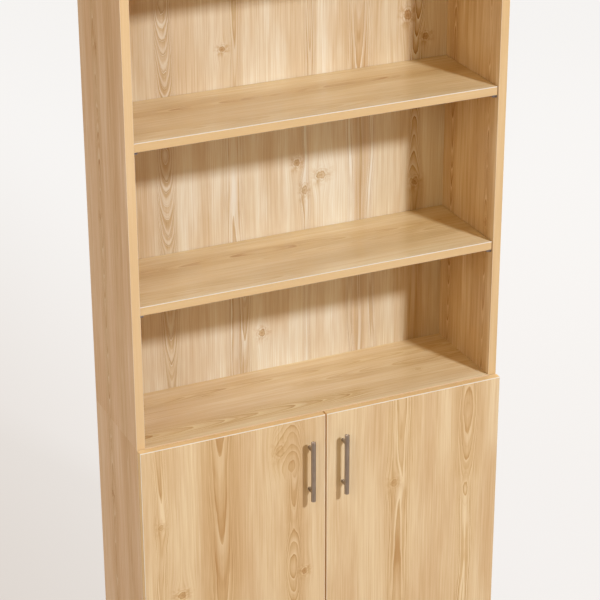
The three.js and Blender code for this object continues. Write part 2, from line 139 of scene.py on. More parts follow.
def dot(tree, first, second):
    return vectorNode(tree, "DOT_PRODUCT", first, second)["Value"]


def split(tree, value):
    return addNode(tree, "SeparateXYZ", {0: value}).outputs


def fade(tree, value, low, high, start=0, end=1):
    # a soft step from start to end while the value goes from low to high
    sockets = {"Value": value, "From Min": low, "From Max": high, "To Min": start, "To Max": end}
    return addNode(tree, "MapRange", sockets, interpolation_type="SMOOTHSTEP").outputs[0]


def blend(tree, factor, first, second):
    node = addNode(tree, "Mix", data_type="RGBA")
    feed(tree, node.inputs[0], factor)
    feed(tree, node.inputs[6], first)
    feed(tree, node.inputs[7], second)
    return node.outputs[2]


def stain(tree, colour, dye, amount):
    # the dye's own colour at an amount of 1, and paler than before below 0
    strong = addNode(tree, "Gamma", {"Color": dye, "Gamma": amount}).outputs[0]
    node = addNode(tree, "Mix", data_type="RGBA", blend_type="MULTIPLY", clamp_result=True)
    feed(tree, node.inputs[0], 1.0)
    feed(tree, node.inputs[6], colour)
    feed(tree, node.inputs[7], strong)
    return node.outputs[2]


def noise(tree, vector, scale=1, detail=2, roughness=0.5):
    sockets = {"Vector": vector, "Scale": scale, "Detail": detail, "Roughness": roughness}
    return addNode(tree, "TexNoise", sockets).outputs[0]


def lineNoise(tree, value, scale=1, detail=1):
    sockets = {"W": value, "Scale": scale, "Detail": detail}
    return addNode(tree, "TexNoise", sockets, noise_dimensions="1D").outputs[0]


def vector(tree, x=0, y=0, z=0):
    return addNode(tree, "CombineXYZ", {"X": x, "Y": y, "Z": z}).outputs[0]


def strongest(tree, first, second):
    return vectorNode(tree, "MAXIMUM", first, second)[0]


def newGroup(name, inputs, outputs):
    # sockets are given by kind, their names in one string
    group = bpy.data.node_groups.new(name, "ShaderNodeTree")
    kinds = dict(value="NodeSocketFloat", vector="NodeSocketVector", colour="NodeSocketColor")
    for way, sockets in (("INPUT", inputs), ("OUTPUT", outputs)):
        for kind, names in sockets.items():
            for socket in names.split():
                group.interface.new_socket(name=socket, in_out=way, socket_type=kinds[kind])
    given, made = group.nodes.new("NodeGroupInput"), group.nodes.new("NodeGroupOutput")
    return group, given.outputs, made.inputs


def addGroup(tree, group, feeds):
    node = tree.nodes.new("ShaderNodeGroup")
    node.node_tree = group
    for name, value in feeds.items():
        feed(tree, node.inputs[name], value)
    return node.outputs


# Grain coordinates of a board: x runs along the grain and y across it, in metres
def makeGrainAxes():
    tree, given, made = newGroup(
        "grainAxes", dict(vector="Position Along Across", value="Shift"), dict(vector="Grain"),
    )
    along = dot(tree, given["Position"], given["Along"])
    across = dot(tree, given["Position"], given["Across"])
    shifted = minus(tree, across, given["Shift"])
    feed(tree, made["Grain"], vector(tree, along, shifted))
    return tree


# A knot: it pushes the grain aside, and has a dark heart and rim, a pale border and an outer ring
knotFlowLook = dict(
    wobble=1.7, wobbleScale=0.9,
    bulge=0.8, bulgeLength=0.45, bulgeFade=-0.12,
    # rings: radius and width in knot sizes, and strength
    heart=(0.0, 0.4, 0.3),
    rim=(0.95, 0.22, 0.75),
    border=(1.45, 0.3, 0.5),
    outer=(1.9, 0.25, 0.25),
    core=0.4, strokes=0.4, light=0.4,
)


def makeKnotFlow(look):
    tree, given, made = newGroup(
        "knotFlow",
        dict(vector="Grain Marks", value="Along Across Size Length Strength"),
        dict(vector="Grain Marks"),
    )
    parts = split(tree, given["Grain"])
    fromAlong = minus(tree, parts["X"], given["Along"])
    fromAcross = minus(tree, parts["Y"], given["Across"])
    u = calc(tree, "DIVIDE", fromAlong, times(tree, given["Size"], given["Length"]))
    v = calc(tree, "DIVIDE", fromAcross, given["Size"])
    distance = calc(tree, "SQRT", plus(tree, times(tree, u, u), times(tree, v, v)))
    uneven = noise(tree, vector(tree, u, v, given["Along"]), look["wobbleScale"], 3)
    reach = raised(tree, distance, centred(tree, uneven), look["wobble"])
    # the grain around the knot is drawn from closer to its middle, so it bulges
    farU = times(tree, u, look["bulgeLength"])
    far = plus(tree, times(tree, farU, farU), times(tree, v, v))
    share = calc(tree, "EXPONENT", times(tree, far, look["bulgeFade"]))
    bulged = minus(tree, parts["Y"], times(tree, fromAcross, share, look["bulge"]))
    feed(tree, made["Grain"], vector(tree, parts["X"], bulged))

    def ring(name):
        radius, width, strength = look[name]
        step = calc(tree, "DIVIDE", minus(tree, reach, radius), width)
        return times(tree, calc(tree, "EXPONENT", times(tree, step, step, -1.0)), strength)

    # strokes of grain that spread from the knot
    nearby = plus(tree, distance, 0.4)
    twist = raised(tree, given["Along"], distance, 0.2)
    turned = vector(tree, calc(tree, "DIVIDE", u, nearby), calc(tree, "DIVIDE", v, nearby), twist)
    rays = fade(tree, noise(tree, turned, 1.9, 3, 0.6), 0.36, 0.7)
    around = times(tree, fade(tree, reach, 4.6, 1.0), fade(tree, reach, 0.7, 1.3))
    core = times(tree, fade(tree, reach, 1.2, 0.6), look["core"])
    dark = plus(tree, ring("heart"), core)
    dark = calc(tree, "MAXIMUM", dark, ring("rim"))
    dark = calc(tree, "MAXIMUM", dark, ring("outer"))
    dark = calc(tree, "MAXIMUM", dark, times(tree, rays, around, look["strokes"]))
    light = times(tree, minus(tree, 1.0, rays), around, look["light"])
    pale = calc(tree, "MAXIMUM", ring("border"), light)
    feeds = {0: vector(tree, dark, pale), "Scale": given["Strength"]}
    scaled = addNode(tree, "VectorMath", feeds, operation="SCALE").outputs[0]
    feed(tree, made["Marks"], strongest(tree, given["Marks"], scaled))
    return tree


# A flame: nested growth rings that point along the grain, in a narrow column
flameLook = dict(
    wanderScale=3.1,
    flow=0.5, flowScale=(7.0, 0.8), flowRough=0.65,
    uneven=1.1, unevenScale=0.45,
    ripple=0.35, rippleScale=(30.0, 130.0),
    tip=0.00015,  # rounds the ring at the eye
    ends=0.03,  # half the length over which a column starts or ends, in metres
)


def makeFlame(look):
    tree, given, made = newGroup(
        "flame",
        dict(
            vector="Grain Marks",
            value="Across Width Eye Rate Wander Seed Start End Strength Wash Flip Cream",
        ),
        dict(vector="Marks"),
    )
    parts = split(tree, given["Grain"])
    place = plus(tree, parts["X"], given["Seed"])
    slow = centred(tree, lineNoise(tree, place, look["wanderScale"]))
    middle = raised(tree, given["Across"], slow, times(tree, given["Wander"], 2.0))
    straight = calc(tree, "DIVIDE", minus(tree, parts["Y"], middle), given["Width"])
    flowU = times(tree, parts["X"], look["flowScale"][0])
    flowV = times(tree, straight, look["flowScale"][1])
    waver = noise(tree, vector(tree, flowU, flowV, given["Seed"]), 1, 3, look["flowRough"])
    x = raised(tree, straight, centred(tree, waver), look["flow"])
    squared = times(tree, x, x)
    wall = times(tree, squared, raised(tree, 0.88, squared, 0.12))
    fromEye = minus(tree, parts["X"], given["Eye"])
    length = calc(tree, "SQRT", raised(tree, look["tip"], fromEye, fromEye))
    even = times(tree, length, given["Rate"])
    # rings that are far apart stay even
    loose = calc(tree, "MINIMUM", times(tree, given["Rate"], 0.04), 1.0)
    place = raised(tree, given["Seed"], even, look["unevenScale"])
    uneven = times(tree, centred(tree, lineNoise(tree, place)), loose)
    steps = raised(tree, even, uneven, look["uneven"])
    rippleU = times(tree, parts["X"], look["rippleScale"][0])
    rippleV = times(tree, parts["Y"], look["rippleScale"][1])
    ripple = centred(tree, noise(tree, vector(tree, rippleU, rippleV, given["Seed"])))
    outward = plus(tree, plus(tree, wall, steps), 0.3)
    phase = raised(tree, outward, times(tree, ripple, loose), look["ripple"])
    part = calc(tree, "FRACT", phase)
    number = plus(tree, calc(tree, "FLOOR", phase), given["Seed"])
    strength = addNode(tree, "TexWhiteNoise", {"W": number}, noise_dimensions="1D").outputs[0]
    other = minus(tree, 1.0, part)
    flipped = times(tree, minus(tree, other, part), given["Flip"])
    shade = plus(tree, part, flipped)
    thin = times(tree, calc(tree, "POWER", part, 7.0), fade(tree, part, 1.0, 0.93))
    # rings that are close together have a fuller dark side
    full = raised(tree, 0.08, loose, 0.2)
    fill = times(tree, calc(tree, "POWER", shade, 3.0), full)
    dark = raised(tree, fill, thin, 0.75)
    lightSide = calc(tree, "POWER", minus(tree, 1.0, shade), 3.0)
    pale = times(tree, lightSide, minus(tree, 1.0, thin))
    # finer lines between the rings, which come and go along their length
    fine = noise(tree, vector(tree, times(tree, phase, 3.0), flowU, given["Seed"]), 1, 2)
    share = raised(tree, 0.42, loose, -0.28)
    fineDark = times(tree, fade(tree, fine, 0.5, 0.66), share)
    finePale = times(tree, fade(tree, fine, 0.5, 0.34), share)
    sides = fade(tree, calc(tree, "ABSOLUTE", x), 2.4, 1.1)
    started = fade(tree, minus(tree, parts["X"], given["Start"]), -look["ends"], look["ends"])
    ended = fade(tree, minus(tree, given["End"], parts["X"]), -look["ends"], look["ends"])
    within = times(tree, started, ended)
    lined = times(tree, sides, within, given["Strength"])
    least = raised(tree, fineDark, dark, 0.5)
    varied = raised(tree, least, times(tree, dark, strength), 0.7)
    paler = times(tree, plus(tree, pale, finePale), given["Cream"])
    wide = times(tree, fade(tree, calc(tree, "ABSOLUTE", x), 3.6, 0.6), within)
    wash = times(tree, wide, given["Wash"])
    marks = vector(tree, times(tree, varied, lined), times(tree, paler, lined), wash)
    feed(tree, made["Marks"], strongest(tree, given["Marks"], marks))
    return tree


# The wood decor itself: patches, streaks and fibres along the grain, then flames and knots
decorLook = dict(  # noise scales along and across the grain, seed, detail, roughness
    bend=(2.0, 8.0, 21.0, 1, 0.55),
    ripple=(9.0, 45.0, 33.0, 1, 0.55),
    patches=(2.2, 14.0, 0.0, 4, 0.55),
    streaks=(3.5, 95.0, 5.0, 4, 0.65),
    fibres=(4.5, 460.0, 9.0, 3, 0.7),
)


def makeWoodDecor(look):
    tree, given, made = newGroup(
        "woodDecor",
        dict(
            vector="Grain Flames Knots", value="Seed Bands Streaks Fibres",
            colour="Cream Pale Middle Deep Line Knot",
        ),
        dict(colour="Color", value="Roughness Height"),
    )
    parts = split(tree, given["Grain"])
    flames = split(tree, given["Flames"])  # lines, halos, wash
    knots = split(tree, given["Knots"])  # dark, pale

    def along(across, name):
        lengthScale, widthScale, offset, detail, roughness = look[name]
        u = times(tree, parts["X"], lengthScale)
        v = times(tree, across, widthScale)
        seed = plus(tree, given["Seed"], offset)
        return noise(tree, vector(tree, u, v, seed), 1, detail, roughness)

    # the streaks wander a little, wide ones more than narrow ones
    bend = centred(tree, along(parts["Y"], "bend"))
    ripple = centred(tree, along(parts["Y"], "ripple"))
    across = raised(tree, parts["Y"], bend, 0.012)
    across = raised(tree, across, ripple, 0.003)
    patches = fade(tree, along(across, "patches"), 0.36, 0.66)
    streaks = along(across, "streaks")
    fibres = along(across, "fibres")
    colour = blend(tree, times(tree, patches, given["Bands"]), given["Pale"], given["Middle"])
    uneven = times(tree, centred(tree, streaks), given["Streaks"])
    uneven = raised(tree, uneven, centred(tree, fibres), given["Fibres"])
    uneven = raised(tree, uneven, flames["Z"], 0.25)
    colour = stain(tree, colour, given["Deep"], uneven)
    halos = calc(tree, "MINIMUM", calc(tree, "MAXIMUM", flames["Y"], knots["Y"]), 1.0)
    colour = blend(tree, halos, colour, given["Cream"])
    colour = stain(tree, colour, given["Line"], flames["X"])
    colour = stain(tree, colour, given["Knot"], knots["X"])
    feed(tree, made["Color"], colour)
    feed(tree, made["Roughness"], raised(tree, 0.15, streaks, 0.12))
    feed(tree, made["Height"], fibres)
    return tree


# Edge bands and the rounded arrises between them and the board's faces. The arrises and the front
# upper corner are painted paler: partly the band's own paler trimmed edge, partly a painted
# highlight
edgeLook = dict(
    face=(0.6, 0.7),  # how squarely a face looks along the board's thin direction
    arrisFrom=(0.25, 0.33),
    arrisTo=(0.98, 0.94),
    corner=(0.0017, 0.0009),  # reach of the paler corner, a painted highlight
    paler=0.06,  # reach of the paler decor, the painted front light
    strength=0.95,  # of the arris
)


def makeBoardEdges(look):
    tree, given, made = newGroup(
        "boardEdges",
        dict(
            vector="Normal Thickness Position Corner", colour="Color Band Arris Deep",
            value="Cover Paler",
        ),
        dict(colour="Color", value="ArrisAndSheen"),
    )
    slant = calc(tree, "ABSOLUTE", dot(tree, given["Normal"], given["Thickness"]))
    onFace = fade(tree, slant, *look["face"])
    # how far a point lies behind or below the board's front upper corner
    offset = vectorNode(tree, "SUBTRACT", given["Position"], given["Corner"])[0]
    offset = vectorNode(tree, "MULTIPLY", offset, (0, 1, 1))[0]
    away = vectorNode(tree, "LENGTH", offset)["Value"]
    # painted light: a shelf's decor is paler towards its front edge, where more light falls
    litFront = times(tree, fade(tree, away, look["paler"], 0.0), given["Paler"])
    colour = stain(tree, given["Color"], given["Deep"], times(tree, litFront, -1.0))
    banded = times(tree, minus(tree, 1.0, onFace), given["Cover"])
    colour = blend(tree, banded, colour, given["Band"])
    arris = times(tree, fade(tree, slant, *look["arrisFrom"]), fade(tree, slant, *look["arrisTo"]))
    # the front upper corner is painted paler too, a little beyond the arris: a painted highlight
    arris = calc(tree, "MAXIMUM", arris, fade(tree, away, *look["corner"]))
    # painted highlight: the arrises take the pale arris tone, which is partly the band's own paler
    # trimmed edge
    colour = blend(tree, times(tree, arris, look["strength"]), colour, given["Arris"])
    feed(tree, made["Color"], colour)
    feed(tree, made["ArrisAndSheen"], arris)
    return tree


grainAxes = makeGrainAxes()
knotFlow = makeKnotFlow(knotFlowLook)
flame = makeFlame(flameLook)
woodDecor = makeWoodDecor(decorLook)
boardEdges = makeBoardEdges(edgeLook)
print("wood node groups ready")

# Which way the grain runs, and the board's thin direction
boardDirections = dict(
    # paler: how strongly painted light brightens a level board towards its front edge
    level=dict(along=(1, 0, 0), across=(0, 1, 1), thickness=(0, 0, 1), lined=True, paler=0.16),
    side=dict(along=(0, 0, 1), across=(1, 1, 0), thickness=(1, 0, 0), lined=False, paler=0),
    front=dict(along=(0, 0, 1), across=(1, 1, 0), thickness=(0, 1, 0), lined=True, paler=0),
    plinth=dict(along=(1, 0, 0), across=(0, 1, 1), thickness=(0, 1, 0), lined=False, paler=0),
)

# Tones of each wood, and how strong its patches, streaks and fibres are. The side panels, shelves,
# deck and doors are one decor, and their tones differ as painted light and shade, fitted to how lit
# each group of boards looks: the doors and the left side paler, the shelves and the right side
# darker. The pale arris tones are partly the band's own paler edge and partly a painted highlight.
woods = dict(
    deck=dict(
        cream=(240, 221, 170), pale=(237, 213, 165), middle=(221, 191, 141),
        band=(234, 196, 142), arris=(237, 206, 165), bands=0.9, streaks=0.4, fibres=0.6,
    ),
    shelf=dict(
        cream=(233, 211, 158), pale=(230, 205, 155), middle=(213, 184, 132),
        band=(228, 193, 138), arris=(243, 238, 226), bands=0.9, streaks=0.4, fibres=0.6,
    ),
    leftSide=dict(
        cream=(242, 220, 180), pale=(242, 211, 170), middle=(229, 189, 141),
        band=(236, 206, 154), arris=(248, 232, 204), bands=0.7, streaks=0.4, fibres=0.8,
    ),
    rightSide=dict(
        cream=(234, 206, 161), pale=(228, 198, 152), middle=(214, 178, 126),
        band=(235, 203, 149), arris=(248, 232, 204), bands=0.9, streaks=0.95, fibres=0.8,
    ),
    back=dict(
        cream=(244, 238, 220), pale=(243, 233, 207), middle=(222, 197, 157),
        band=(220, 190, 148), arris=(238, 214, 178), bands=0.9, streaks=0.28, fibres=0.72,
    ),
    door=dict(
        cream=(247, 226, 184), pale=(240, 216, 172), middle=(222, 189, 141),
        band=(255, 220, 157), arris=(249, 246, 231), bands=0.8, streaks=0.22, fibres=0.6,
    ),
)

# Dyes that darken the board's own colour: the fibres and washes, the figure's lines, and knots.
# Some washes on the back panel are painted shade beside the side panels.
woodDyes = dict(Deep=tone(185, 149, 103), Line=tone(196, 164, 122), Knot=tone(192, 158, 118))


# Places are in metres: along the grain, and across it. The rate is in rings per metre.
def column(
    across, width, eye, rate, start=-2, end=2, strength=1, wash=0.5, flip=0, wander=0.003, cream=1,
):
    return {
        "Across": across, "Width": width, "Eye": eye, "Rate": rate, "Start": start, "End": end,
        "Strength": strength, "Wash": wash, "Flip": flip, "Wander": wander, "Cream": cream,
    }


def knot(along, across, size, length=1, strength=1):
    return {"Along": along, "Across": across, "Size": size, "Length": length, "Strength": strength}


boardLooks = {
    "upper_back": dict(
        way="front", wood="back", seed=3.0,
        columns=[
            column(-0.236, 0.0115, 1.66, 34, start=1.41, flip=1, strength=1.25, cream=1.2),
            column(-0.238, 0.012, 1.35, 33, start=1.05, end=1.41, flip=1, cream=1.2, strength=1.3),
            column(-0.238, 0.012, 1.06, 15, end=1.05, flip=1, wash=0.7, strength=1.2),
            # painted shade: the next two columns carry almost no figure, only darker washes beside
            # the left side panel, the second in the top bay only
            column(-0.35, 0.026, 2.2, 2, strength=0.1, wash=1.2),
            column(-0.3, 0.02, 2.4, 2, start=1.45, strength=0.1, wash=0.8, cream=0.3),
            column(-0.094, 0.013, 0.9, 2.34, end=1.42, wash=0.1, strength=0.8, cream=1.1),
            column(-0.088, 0.008, 2.1, 5, start=1.42, wash=0.4, strength=0.5, cream=0.6),
            column(-0.075, 0.01, 1.07, 10, end=1.1, wash=0.8, strength=0.8),
            column(0.066, 0.005, 3.0, 0.45, end=1.42, wash=0.2,
                   strength=0.9, cream=1.4, wander=0.005),
            column(0.074, 0.007, 1.8, 6, start=1.42, wash=0.4, strength=0.7, cream=0.7),
            column(0.183, 0.015, 1.8, 5, start=1.4, strength=0.75, cream=0.6),
            column(0.168, 0.005, 3.0, 0.45, end=1.42, wash=0.3,
                   strength=0.9, cream=1.3, wander=0.012),
            column(0.189, 0.0055, 2.49, 0.45, end=1.42, wash=0.9, strength=0.55, wander=0.008),
            column(0.213, 0.005, 2.98, 0.45, end=1.42, wash=0.6,
                   strength=0.9, cream=1.3, wander=0.012),
            column(0.312, 0.0082, 1.08, 29, start=1.19, end=1.42, wash=1.2,
                   strength=0.75, cream=0.8),
            column(0.316, 0.01, 2.2, 1.5, end=1.22, wash=1.4, strength=0.5, cream=0.5),
            column(0.312, 0.011, 1.66, 26, start=1.42, wash=0.9),
            # painted shade: the next two columns carry almost no figure, only darker washes over
            # the right part of the back panel and beside the right side panel
            column(0.262, 0.03, 2.3, 2, strength=0.1, wash=0.6, cream=0.4),
            column(0.368, 0.018, 2.3, 3, end=1.42, strength=0.1, wash=0.7, cream=0.4),
        ],
        knots=[
            knot(1.551, -0.114, 0.005, 0.9), knot(1.288, 0.045, 0.0055, 1.1),
            knot(1.226, 0.062, 0.005, 1.6), knot(1.253, 0.099, 0.0085, 0.8, 0.9),
            knot(1.567, 0.292, 0.0065, 1.4), knot(1.517, 0.333, 0.006, 1.0),
            knot(0.922, -0.036, 0.006, 1.1), knot(1.204, 0.316, 0.006, 1.2, 0.8),
        ],
    ),
    "left_door": dict(
        way="front", wood="door", seed=11.0,
        columns=[
            column(-0.362, 0.0085, 0.952, 3.0, wash=0.1, strength=0.7, cream=1.5, wander=0.006),
            column(-0.232, 0.0175, 1.114, 5.13, wash=0.8, strength=0.5, cream=0.8, wander=0.005),
            column(-0.073, 0.012, 0.498, 26, end=0.6, wash=0.6, strength=0.6),
            column(-0.08, 0.018, 0.735, 48, start=0.72, wash=0.6, strength=0.4, cream=0.9),
            column(-0.073, 0.01, 0.745, 16, start=0.59, end=0.71, strength=0.6),
        ],
        knots=[
            knot(0.662, -0.362, 0.005, 1.1, 0.5), knot(0.494, -0.321, 0.008, 0.8, 0.8),
            knot(0.776, -0.103, 0.0085, 1.2, 0.4), knot(0.482, -0.049, 0.0055, 1.1, 0.8),
        ],
    ),
    "right_door": dict(
        way="front", wood="door", seed=17.0,
        columns=[
            column(0.167, 0.011, 0.226, 2.0, end=0.64, wash=0.4, strength=0.35, wander=0.005),
            column(0.167, 0.015, 0.253, 2.0, end=0.64, wash=0.2, strength=0.7, cream=1.2),
            column(0.17, 0.016, 0.93, 2.5, start=0.63, strength=0.7, cream=1.4, wander=0.005),
            column(0.327, 0.015, 0.775, 14.5, start=0.615, wash=0.7, strength=0.55),
            column(0.327, 0.009, 0.588, 32, start=0.56, end=0.616, wash=0.3, strength=0.8),
            column(0.325, 0.01, -0.5, 0.8, end=0.6, wash=0.3,
                   strength=0.8, cream=1.5, wander=0.006),
        ],
        knots=[knot(0.642, 0.156, 0.007, 1.0, 0.5)],
    ),
    "fixed_shelf": dict(
        way="level", wood="deck", seed=23.0,
        columns=[
            column(-0.052, 0.013, -0.6, 14, end=0.12, wash=0.3, strength=0.8, wander=0.006),
            column(0.075, 0.01, -0.7, 10, wash=0.4, strength=0.4, wander=0.008),
            column(0.03, 0.012, 0.28, 12, start=0.0, wash=0.2, strength=0.4, wander=0.008),
        ],
        knots=[knot(0.262, -0.01, 0.003, 2.2, 0.35), knot(-0.19, 0.062, 0.0025, 3.5, 0.35)],
    ),
    "middle_shelf": dict(
        way="level", wood="shelf", seed=29.0,
        columns=[
            column(0.055, 0.01, -0.06, 9, strength=0.5, wander=0.006),
            column(-0.07, 0.014, -0.9, 7, end=0, wash=0.2, strength=0.3, wander=0.008),
            column(0.02, 0.012, 0.5, 8, start=-0.1, wash=0.0, strength=0.3, wander=0.008),
        ],
        knots=[
            knot(-0.121, 0.057, 0.0024, 5.0, 0.35), knot(0.008, 0.055, 0.0034, 4.0, 0.35),
            knot(-0.276, 0.056, 0.0022, 4.5, 0.35),
        ],
    ),
    "upper_shelf": dict(
        way="level", wood="shelf", seed=37.0,
        columns=[
            column(0.049, 0.01, 0.14, 9, strength=0.5, wander=0.006),
            column(-0.06, 0.014, -0.9, 7, end=0.2, wash=0.2, strength=0.3, wander=0.008),
        ],
        knots=[
            knot(-0.088, 0.049, 0.0028, 6.0, 0.35), knot(0.058, 0.05, 0.0022, 5.0, 0.35),
            knot(0.214, 0.046, 0.0024, 5.0, 0.35),
        ],
    ),
    "cabinet_shelf": dict(
        way="level", wood="shelf", seed=41.0,
        columns=[
            column(0.03, 0.014, 0.1, 11, wander=0.006),
            column(-0.05, 0.012, -0.5, 7, strength=0.5),
        ],
        knots=[knot(-0.2, 0.07, 0.0035, 2.5, 0.35)],
    ),
    "top_panel": dict(
        way="level", wood="shelf", seed=43.0,
        columns=[
            column(0.06, 0.014, -0.15, 11, wander=0.006),
            column(-0.03, 0.012, 0.25, 10, wander=0.006),
        ],
        knots=[knot(0.12, 0.01, 0.005, 1.6, 0.35)],
    ),
    "bottom_panel": dict(
        way="level", wood="shelf", seed=47.0,
        columns=[
            column(0.04, 0.014, 0.05, 11, wander=0.006),
            column(-0.04, 0.012, 0.35, 9, strength=0.6),
        ],
        knots=[knot(-0.15, -0.01, 0.004, 2.0, 0.35)],
    ),
    "plinth": dict(
        way="plinth", wood="shelf", seed=53.0,
        columns=[column(0.036, 0.01, 0.1, 9)],
        knots=[knot(0.2, 0.03, 0.0035, 2.0, 0.35)],
    ),
    "lower_back": dict(
        way="front", wood="back", seed=59.0,
        columns=[
            column(-0.1, 0.011, 0.4, 24, wash=0.6, strength=0.7),
            column(0.25, 0.012, 0.3, 18, strength=0.6),
            column(0.08, 0.014, 1.2, 2, wash=0.3, strength=0.6),
            column(-0.28, 0.012, 0.9, 3, wash=0.4, strength=0.6),
        ],
        knots=[knot(0.3, 0.12, 0.006, 1.2, 0.8), knot(0.62, -0.2, 0.005, 1.0, 0.8)],
    ),
    "left_side_upper": dict(
        way="side", wood="leftSide", seed=61.0,
        columns=[
            column(0.055, 0.009, 1.3, 18, wash=0.4, strength=0.7, wander=0.006),
            column(-0.03, 0.012, 2.2, 3, strength=0.3),
        ],
        knots=[
            knot(1.27, 0.064, 0.003, 2.0, 0.5), knot(1.62, 0.047, 0.003, 2.0, 0.5),
            knot(1.44, 0.055, 0.003, 2.5, 0.4),
        ],
    ),
    "left_side_lower": dict(
        way="side", wood="leftSide", seed=67.0,
        columns=[
            column(0.055, 0.009, 0.5, 16, wash=0.4, strength=0.7, wander=0.006),
            column(-0.04, 0.012, 1.2, 4, strength=0.3),
        ],
        knots=[knot(0.4, 0.02, 0.004, 1.8), knot(0.66, 0.06, 0.003, 2.0)],
    ),
    "right_side_upper": dict(
        way="side", wood="rightSide", seed=71.0,
        columns=[
            column(0.088, 0.008, 1.5, 22, wash=0.8, strength=0.9, wander=0.006),
            column(-0.056, 0.009, 1.7, 9, start=1.4, wash=0.6, strength=0.8),
            column(-0.062, 0.008, 1.17, 14, end=1.4, strength=0.8),
            column(-0.012, 0.014, 2.3, 3, strength=0.3, wash=0.2),
        ],
        knots=[knot(1.42, 0.086, 0.003, 2.0), knot(1.17, -0.062, 0.003, 2.5)],
    ),
    "right_side_lower": dict(
        way="side", wood="rightSide", seed=73.0,
        columns=[
            column(0.06, 0.011, 0.5, 18, wander=0.005),
            column(-0.05, 0.01, 0.9, 8, strength=0.7),
        ],
        knots=[knot(0.6, -0.02, 0.004, 1.5)],
    ),
}


def faceLevel(name, way):
    # where the board's main face lies along its thin direction
    low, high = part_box(name)
    return dict(level=high.z, side=low.x, front=low.y, plinth=low.y)[way]


def newMaterial(name):
    material = bpy.data.materials.new(name)
    material.use_nodes = True
    tree = material.node_tree
    tree.nodes.clear()
    shader = tree.nodes.new("ShaderNodeBsdfPrincipled")
    output = tree.nodes.new("ShaderNodeOutputMaterial")
    tree.links.new(shader.outputs[0], output.inputs["Surface"])
    return material, tree, shader


def finishSurface(tree, shader, colour, rough, height, look):
    bump = {"Height": height, "Strength": look["bump"], "Distance": look["bumpDepth"]}
    feed(tree, shader.inputs["Base Color"], colour)
    feed(tree, shader.inputs["Roughness"], rough)
    feed(tree, shader.inputs["Normal"], addNode(tree, "Bump", bump).outputs[0])


surfaceLook = dict(
    cover=0.75,  # how fully an edge band hides the decor
    worn=0.4,  # added to the roughness of the arrises
    bump=0.12, bumpDepth=0.0003,
    seedStep=1.7,  # from one flame of a board to the next
    nowhere=(0, 9, 9),  # a corner too far off to be seen
)
trace = (1e-7, 1e-7, 1e-7)


def woodMaterial(name, look):
    material, tree, shader = newMaterial("wood_" + name)
    way = boardDirections[look["way"]]
    wood = woods[look["wood"]]
    tones = {key: tone(*wood[key]) for key in ("cream", "pale", "middle", "band", "arris")}
    low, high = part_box(name)
    place = addNode(tree, "TexCoord").outputs
    grain = addGroup(tree, grainAxes, {
        "Position": place["Object"], "Along": way["along"], "Across": way["across"],
        "Shift": faceLevel(name, look["way"]),
    })["Grain"]
    knots = flames = (0, 0, 0)
    for sockets in look["knots"]:
        made = addGroup(tree, knotFlow, {"Grain": grain, "Marks": knots, **sockets})
        grain, knots = made["Grain"], made["Marks"]
    for number, sockets in enumerate(look["columns"]):
        # a trace of the marks so far makes each flame wait for the last one,
        # or Cycles runs out of stack
        after = vectorNode(tree, "MULTIPLY_ADD", flames, trace, grain)[0]
        seed = look["seed"] + surfaceLook["seedStep"] * number
        feeds = {"Grain": after, "Marks": flames, "Seed": seed, **sockets}
        flames = addGroup(tree, flame, feeds)["Marks"]
    decor = addGroup(tree, woodDecor, {
        "Grain": grain, "Flames": flames, "Knots": knots, "Seed": look["seed"],
        "Cream": tones["cream"], "Pale": tones["pale"], "Middle": tones["middle"],
        "Bands": wood["bands"], "Streaks": wood["streaks"], "Fibres": wood["fibres"], **woodDyes,
    })
    edges = addGroup(tree, boardEdges, {
        "Normal": place["Normal"], "Thickness": way["thickness"], "Position": place["Object"],
        "Corner": (0, low.y, high.z) if way["lined"] else surfaceLook["nowhere"],
        "Color": decor["Color"], "Band": tones["band"], "Arris": tones["arris"],
        "Cover": surfaceLook["cover"], "Deep": woodDyes["Deep"], "Paler": way["paler"],
    })
    rough = raised(tree, decor["Roughness"], edges["ArrisAndSheen"], surfaceLook["worn"])
    finishSurface(tree, shader, edges["Color"], rough, decor["Height"], surfaceLook)
    return material


def dress(name, material):
    for slot in nodes[name].material_slots:
        slot.material = material


for name, look in boardLooks.items():
    dress(name, woodMaterial(name, look))
print("boards dressed:", len(boardLooks))


# Metals and plastics: fine uneven gloss, brushed along one direction where stretched
def makeMetalWear():
    tree, given, made = newGroup(
        "metalWear",
        dict(vector="Position Stretch", colour="Light Dark", value="Low High"),
        dict(colour="Color", value="Roughness Height"),
    )
    stretched = vectorNode(tree, "MULTIPLY", given["Position"], given["Stretch"])
    brush = noise(tree, stretched[0], 1, 3)
    clouds = noise(tree, given["Position"], 60.0, 3)
    mixed = raised(tree, times(tree, brush, 0.6), clouds, 0.4)
    level = fade(tree, mixed, 0.35, 0.65)
    feed(tree, made["Color"], blend(tree, level, given["Dark"], given["Light"]))
    span = minus(tree, given["High"], given["Low"])
    feed(tree, made["Roughness"], raised(tree, given["Low"], level, span))
    feed(tree, made["Height"], brush)
    return tree


metalWear = makeMetalWear()

